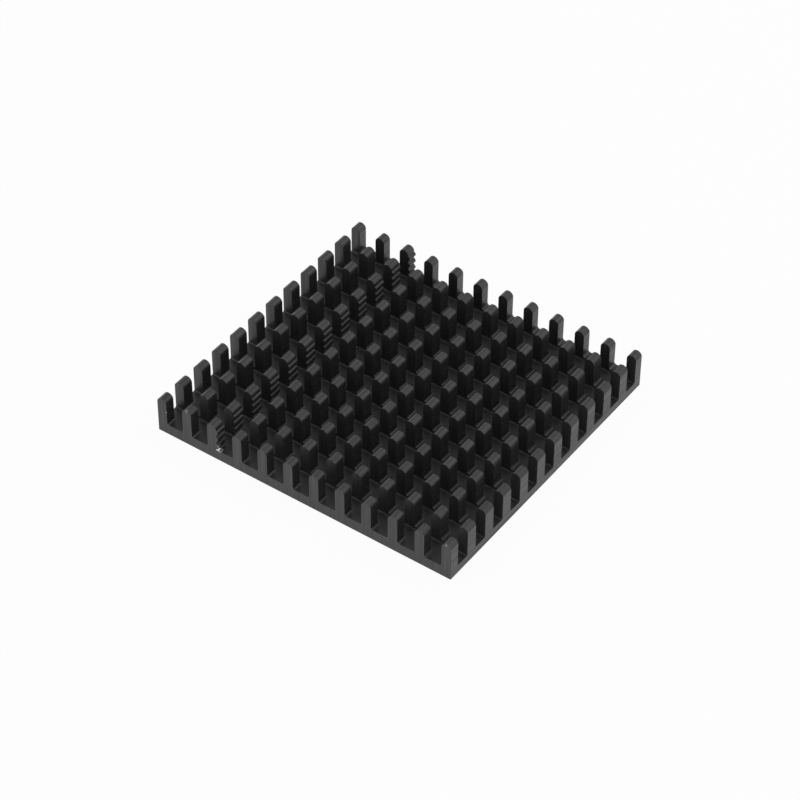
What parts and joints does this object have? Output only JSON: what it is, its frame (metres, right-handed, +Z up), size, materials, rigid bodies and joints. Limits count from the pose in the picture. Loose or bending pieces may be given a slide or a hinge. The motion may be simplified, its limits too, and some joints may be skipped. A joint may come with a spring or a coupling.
{
  "type": "pin fin heat sink",
  "caption": "Low aluminium heat sink: a flat base with a grid of round-topped pins that sheds a chip's heat to the air.",
  "frame": {"origin": "middle of the flat underside", "axes": "+Z up through the pins, +X across the fins, +Y along the extrusion; the toothed fin is third from the -X side and the short last row is at +Y"},
  "size_m": [0.0508, 0.0482, 0.0063],
  "materials": {
    "black_anodised": "satin black anodised"
  },
  "bodies": {
    "root": {"heat_sink": "black_anodised"}
  },
  "joints": []
}
